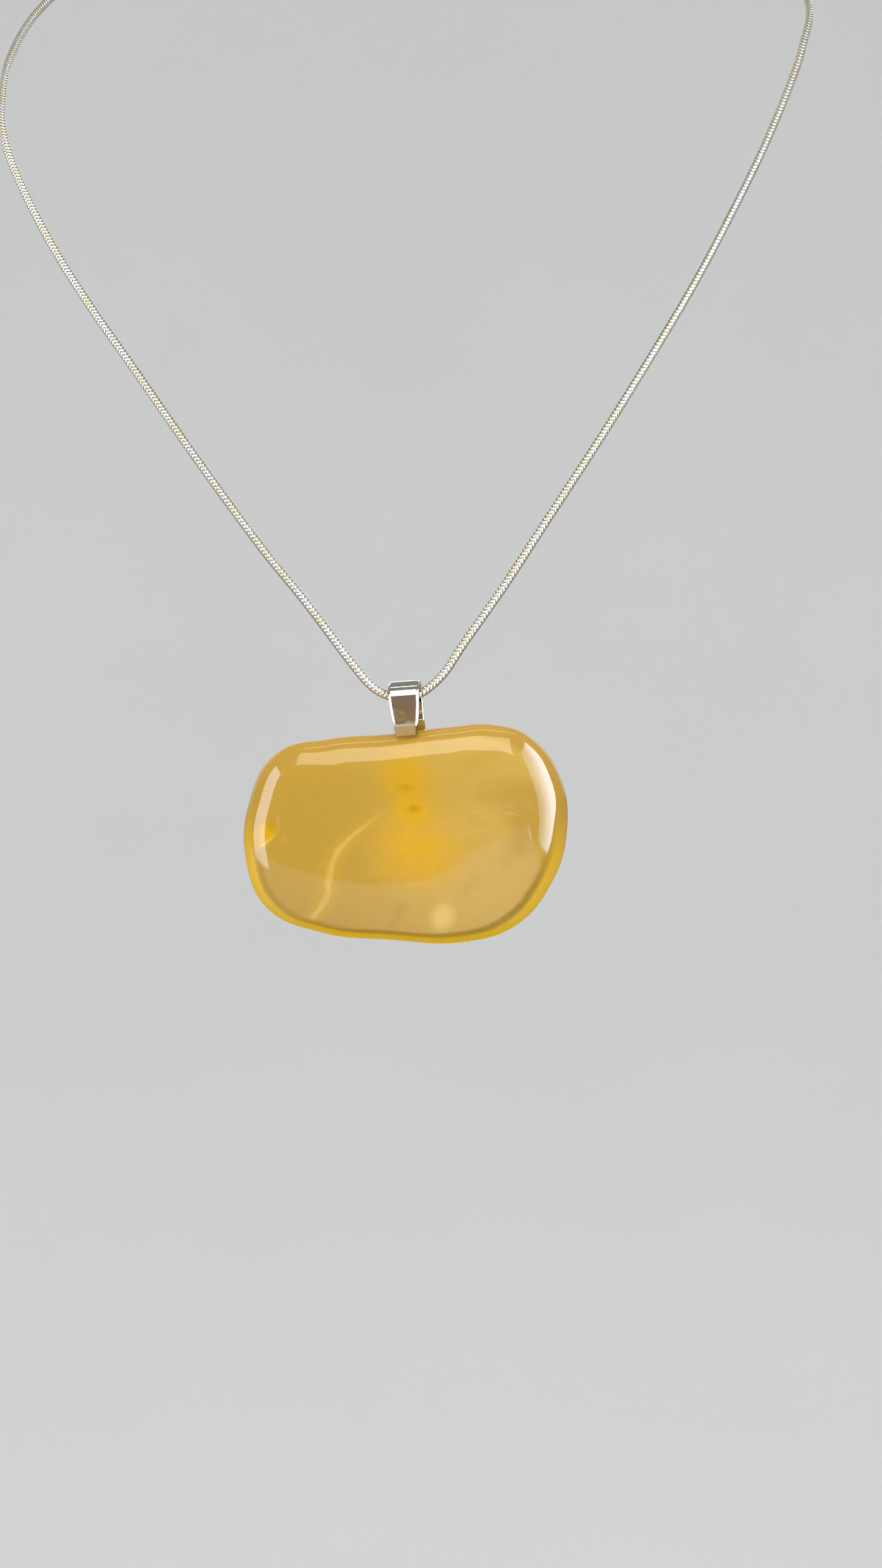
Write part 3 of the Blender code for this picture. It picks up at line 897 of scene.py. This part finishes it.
def build_bail():
    """One polished strap with bevelled edges, folded over the chain, with a pad behind the stone."""
    route = smooth_route(BAIL_PATH, 10)
    centre = route[:, :2] * MM
    half_width = route[:, 2] * BAIL_HALF_WIDTH
    tangents = unit(np.gradient(centre, axis=0))
    outward = np.stack([-tangents[:, 1], tangents[:, 0]], 1)
    edge = strap_section()
    section = [(1.0, *point) for point in edge] + [(-1.0, *point) for point in edge[::-1]]
    rings = []
    for point, normal, width in zip(centre, outward, half_width):
        ring = []
        for side, inset, out in section:
            back, up = point + normal * out
            ring.append((back, up, side * (width - inset)))
        rings.append(ring)
    mesh = lofted_mesh("bail_strap", np.array(rings))
    smooth_by_angle(mesh, 32.0)
    bail = add_object("bail_strap", mesh)
    turn = Matrix.Rotation(math.pi / 2, 4, "Z") @ Matrix.Rotation(math.pi / 2 + BAIL_LEAN, 4, "X")
    bail.matrix_world = pendant_place() @ Matrix.Translation((BAIL_SHIFT, 0.0, 0.0)) @ turn
    finish_piece(bail, bail_material(), "pendant", ["bail"])


def build_glue():
    """Clear adhesive squeezed out a little round the pad."""
    turns = full_turn(64)
    uneven = 1 + 0.05 * np.sin(3 * turns + 0.6) + 0.035 * np.sin(5 * turns + 2.0)
    uneven += 0.02 * np.sin(9 * turns)
    profile = ((0.55, -0.25), (0.9, -0.24), (1.0, -0.14), (1.02, 0.0), (0.98, 0.12), (0.8, 0.14))
    rings = []
    for share, depth in profile:
        reach = GLUE_RADIUS * share * uneven
        across, up = reach * np.cos(turns), reach * np.sin(turns)
        rings.append(np.stack([across, np.full_like(across, depth * MM), up], 1))
    glue = add_object("glue_bead", lofted_mesh("glue_bead", np.array(rings)))
    glue.matrix_world = pendant_place() @ Matrix.Translation(PAD_CENTRE)
    finish_piece(glue, glue_material(), "pendant", ["glue_pad"])


# Ends and clasp.


def cup_profile():
    """Section of an end cup: bore, lip, crimped groove and rounded shoulder, as (radius, height)."""
    lip = (
        (CUP_BORE, 0.12 * MM),
        (CUP_BORE + 0.05 * MM, 0.03 * MM),
        (CUP_BORE + 0.12 * MM, 0.0),
        (CUP_RADIUS - 0.1 * MM, 0.0),
        (CUP_RADIUS - 0.02 * MM, 0.05 * MM),
        (CUP_RADIUS, 0.14 * MM),
        (CUP_RADIUS, 0.5 * MM),
        (CUP_RADIUS - CUP_GROOVE, 0.56 * MM),
        (CUP_RADIUS - CUP_GROOVE, 0.68 * MM),
        (CUP_RADIUS, 0.74 * MM),
    )
    shoulder = ((0.0, 0.75), (0.05, 0.5), (0.2, 0.25), (0.45, 0.05), (0.7, 0.0))
    return [
        (CUP_BORE, CUP_BASE + 0.9 * MM),
        *((radius, CUP_MOUTH - drop) for radius, drop in lip),
        *((CUP_RADIUS - inset * MM, CUP_BASE + rise * MM) for inset, rise in shoulder),
    ]


def solder_profile():
    """Section of the bead of solder between a cup and its loop, as (radius, height)."""
    turns = [math.pi * step / 8 for step in range(1, 8)]
    return [(SOLDER_RADIUS * math.sin(a), CUP_BASE + SOLDER_HEIGHT * math.cos(a)) for a in turns]


def build_ends():
    """At each end of the chain: a crimped cup, its soldered loop and a jump ring."""
    for side, sign in (("left", -1), ("right", 1)):
        bright = metal("end_cap_silver_" + side, (0.90, 0.90, 0.88), (0.82, 0.81, 0.77), (0.12, 0.26))
        turn = Matrix.Rotation(sign * math.pi / 2, 4, "Y")
        place = Matrix.Translation((LOOP_X[side], 0.0, 0.0)) @ turn

        name = "end_cup_" + side
        mesh = turned_mesh(name, cup_profile())
        smooth_by_angle(mesh)
        cup = add_object(name, mesh)
        cup.matrix_world = place
        finish_piece(cup, bright, "chain", ["end_cap_" + side])

        name = "end_loop_" + side
        mesh = wire_ring_mesh(name, LOOP_X[side], LOOP_RADIUS, LOOP_WIRE, (0.0, 0.0, 1.0))
        finish_piece(add_object(name, mesh), bright, "chain", ())

        name = "solder_bead_" + side
        bead = add_object(name, turned_mesh(name, solder_profile(), 32))
        bead.matrix_world = place
        finish_piece(bead, bright, "chain", ())

        name = "wire_ring_" + side
        silver = metal("ring_silver_" + side, (0.92, 0.92, 0.90), (0.84, 0.84, 0.81), (0.10, 0.22))
        mesh = wire_ring_mesh(name, RING_X[side], RING_RADIUS, RING_WIRE, (0.0, 1.0, 0.0))
        ring = add_object(name, mesh)
        finish_piece(ring, silver, "ring_" + side, ["jump_ring_" + side])


def slot_cutter():
    """Block that cuts the lever's slot into the claw, in the claw's own frame."""
    mesh = bpy.data.meshes.new("slot_cutter")
    shape = bmesh.new()
    bmesh.ops.create_cube(shape, size=1.0)
    shape.to_mesh(mesh)
    shape.free()
    cutter = add_object("slot_cutter", mesh)
    wide, tall = SLOT_SIZE
    cutter.scale = (wide * MM, tall * MM, SLOT_THICKNESS)
    cutter.location = ((SLOT_CORNER[0] + wide / 2) * MM, (SLOT_CORNER[1] + tall / 2) * MM, 0.0)
    return cutter


def build_claw():
    """Cast claw with its eye, its rivet hole and the slot for the lever."""
    outlines = [
        CLASP_OUTLINE,
        circle_outline(EYE_CENTRE, EYE_HOLE + CLASP_EDGE),
        circle_outline(RIVET_CENTRE, RIVET_HOLE + CLASP_EDGE),
    ]
    plate = flat_solid("lobster_claw", outlines, CLASP_THICKNESS, CLASP_EDGE * MM)
    uncut = add_object("lobster_claw", plate)
    cutter = slot_cutter()
    cut = uncut.modifiers.new("Slot", "BOOLEAN")
    cut.operation = "DIFFERENCE"
    cut.solver = "EXACT"
    cut.object = cutter
    mesh = mesh_of(uncut)
    bpy.data.objects.remove(cutter, do_unlink=True)
    smooth_by_angle(mesh)
    flatten_faces(mesh)
    claw = add_object("lobster_claw", mesh)
    claw.matrix_world = Matrix.Translation((CLASP_X, 0.0, 0.0)) @ Matrix.Rotation(math.pi / 2, 4, "X")
    silver = metal("clasp_silver", (0.91, 0.91, 0.89), (0.83, 0.82, 0.79), (0.10, 0.24))
    finish_piece(claw, silver, "clasp", ["clasp_body"])


def rivet_place():
    """Frame of the rivet's axis, which is its Z."""
    centre = Vector((RIVET_CENTRE[0], 0.0, RIVET_CENTRE[1])) * MM
    shift = Matrix.Translation((CLASP_X, 0.0, 0.0)) @ Matrix.Translation(centre)
    return shift @ Matrix.Rotation(math.pi / 2, 4, "X")


def build_lever():
    """Lever with its thumb tab, about the rivet."""
    about_rivet = [(u - RIVET_CENTRE[0], v - RIVET_CENTRE[1]) for u, v in LEVER_OUTLINE]
    hole = circle_outline((0.0, 0.0), LEVER_HOLE + LEVER_EDGE)
    mesh = flat_solid("lever_arm", [about_rivet, hole], LEVER_THICKNESS, LEVER_EDGE * MM)
    smooth_by_angle(mesh)
    flatten_faces(mesh)
    lever = add_object("lever_arm", mesh)
    lever.matrix_world = rivet_place()
    silver = metal("lever_silver", (0.88, 0.88, 0.86), (0.78, 0.78, 0.75), (0.14, 0.28))
    finish_piece(lever, silver, "lever", ["clasp_lever"])


def build_rivet():
    """Pin with a low domed head on each side of the claw."""
    half = CLASP_THICKNESS / 2
    profile = []
    for share, rise in ((0.3, 0.2), (0.6, 0.18), (0.85, 0.14), (1.0, 0.06)):
        profile.append((RIVET_HEAD * share, half + rise * MM))
    profile.append((RIVET_HEAD, half + RIVET_GAP))
    profile.append((RIVET_RADIUS, half + RIVET_GAP))
    profile += [(radius, -height) for radius, height in profile[::-1]]
    mesh = turned_mesh("rivet_pin", profile, 32)
    smooth_by_angle(mesh)
    rivet = add_object("rivet_pin", mesh)
    rivet.matrix_world = rivet_place()
    steel = metal("rivet_silver", (0.82, 0.82, 0.80), (0.70, 0.70, 0.67), (0.18, 0.32))
    finish_piece(rivet, steel, "clasp", ["clasp_rivet"])


def build_spring():
    """Bent wire in the slot, built in one shape; on the real clasp it flattens as the lever comes down on
    it.
    """
    bends = smooth_route(SPRING_PATH, 8) * MM
    path = np.stack([bends[:, 0] + CLASP_X, 0 * bends[:, 0], bends[:, 1]], 1)
    spring = add_object("wire_spring", tube_mesh("wire_spring", path, SPRING_WIRE, 12, (0.0, 1.0, 0.0)))
    steel = metal("spring_steel", (0.62, 0.63, 0.64), (0.48, 0.48, 0.48), (0.25, 0.4))
    finish_piece(spring, steel, "clasp", ["clasp_spring"])
    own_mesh(spring)


# Studio.


def build_stage():
    """Plain pale floor that sweeps up into a wall all round."""
    floor_edge = STAGE_RADIUS - STAGE_SWEEP
    profile = [(radius, STAGE_FLOOR) for radius in (0.4, 0.9, floor_edge)]
    for step in range(1, 13):
        turn = math.radians(7.5 * step)
        across, rise = STAGE_SWEEP * math.sin(turn), STAGE_SWEEP * (1 - math.cos(turn))
        profile.append((floor_edge + across, STAGE_FLOOR + rise))
    profile += [(STAGE_RADIUS, 1.0), (STAGE_RADIUS, STAGE_TOP)]
    mesh = turned_mesh("pale_stage", profile, STAGE_SIDES, "start")
    mesh.materials.append(stage_material())
    stage = add_object("pale_stage", mesh)
    stage.visible_glossy = False


def build_softbox():
    """Soft light high in front, which covers these angles as seen from the stone; 0 is straight ahead."""
    left, right = math.radians(-37.0), math.radians(12.0)
    low, high = math.radians(21.0), math.radians(55.0)
    light = bpy.data.lights.new("top_softbox", "AREA")
    light.shape = "RECTANGLE"
    light.size = 2 * SOFTBOX_DISTANCE * math.tan((right - left) / 2)
    light.size_y = 2 * SOFTBOX_DISTANCE * math.tan((high - low) / 2)
    light.energy = SOFTBOX_RADIANCE * math.pi * light.size * light.size_y
    light.color = SOFTBOX_COLOUR
    softbox = add_object("top_softbox", light)
    a, e = (left + right) / 2, (low + high) / 2
    towards = Vector((math.sin(a) * math.cos(e), -math.cos(a) * math.cos(e), math.sin(e)))
    stone_centre = CHAIN_BOTTOM - Vector((0.0, 0.0, STONE_CENTRE_DROP))
    softbox.location = stone_centre + towards * SOFTBOX_DISTANCE
    softbox.rotation_euler = (math.pi / 2 - e, 0.0, a)
    softbox.visible_camera = False


def build_world():
    """Even pale light for the matt surfaces; for polished ones, pale and dark cards round the studio.

    The parts of a direction, across, ahead and up, run from -1 to 1. A card's edges are lines in them.
    """
    world = bpy.data.worlds.new("studio_world")
    bpy.context.scene.world = world
    w = Nodes(world)
    across, depth, up = w.parts(w.node("ShaderNodeTexCoord").outputs["Generated"])
    ahead = w.times(depth, -1.0)

    def over(edge, value, share=0.0, other=0.0, soft=0.004):
        """1 where value + share * other is over the edge."""
        return w.spread(w.math("MULTIPLY_ADD", other, share, value), edge - soft, edge + soft)

    def under(edge, value, share=0.0, other=0.0, soft=0.004):
        return w.math("SUBTRACT", 1.0, over(edge, value, share, other, soft))

    # Room: grey, with a white wall behind, dim and warm in front, and dark straight below.
    cards = w.mix(w.spread(up, 0.3, 0.75), (0.32, 0.31, 0.29), (0.22, 0.22, 0.22))
    wall = w.times(over(0.4, depth, soft=0.1), over(0.05, up, soft=0.03), under(0.58, up, soft=0.03))
    cards = w.mix(wall, cards, (1.0, 1.0, 0.98))
    front = w.times(over(0.15, ahead, soft=0.25), under(0.4, up, soft=0.1), over(-0.5, up, soft=0.2))
    cards = w.mix(front, cards, (0.23, 0.165, 0.105))
    cards = w.mix(under(-0.89, up, soft=0.03), cards, (0.08, 0.06, 0.03))

    # Pale table below: its far edge, its right edge and its two near edges.
    far_edge = w.math("SUBTRACT", w.spread(across, -0.26, -0.14, -0.222, -0.168), up)
    sides = w.times(under(-0.07, across, 1.3, up), over(0.0, ahead, 0.33, up))
    near_left = over(0.0, w.math("SUBTRACT", ahead, across), 0.62, up)
    cards = w.mix(w.times(over(0.0, far_edge), sides, near_left), cards, (0.66, 0.67, 0.71))

    # Window on the right, brightest at its far side.
    window = w.times(over(0.285, across), over(0.66, ahead, 0.4, up), under(-0.01, up, -1.43, across))
    window = w.times(window, over(-0.077, up, 0.45, across))
    glare = w.mix(w.spread(across, 0.27, 0.72), (1.5, 1.8, 2.1), (7.7, 9.1, 11.0))
    cards = w.mix(window, cards, glare)

    # Smaller window on the left.
    window = w.times(over(0.37, ahead), under(0.685, ahead), under(-1.146, up, 1.95, across))
    cards = w.mix(w.times(window, over(-0.26, up)), cards, (3.5, 3.7, 4.2))

    # Narrow slit overhead.
    slit = w.times(over(0.91, up), under(0.052, w.math("ABSOLUTE", w.math("ADD", depth, 0.12))))
    cards = w.mix(slit, cards, (2.2, 2.1, 1.8))
    glossy = w.node("ShaderNodeLightPath").outputs["Is Glossy Ray"]
    w.put(w.tree.nodes["Background"].inputs["Color"], w.mix(glossy, AMBIENT, cards))


def main():
    bpy.context.scene.view_settings.view_transform = "Standard"
    build_camera()
    build_chain()
    build_stone()
    build_bail()
    build_glue()
    build_ends()
    build_claw()
    build_lever()
    build_rivet()
    build_spring()
    build_stage()
    build_world()
    build_softbox()


main()
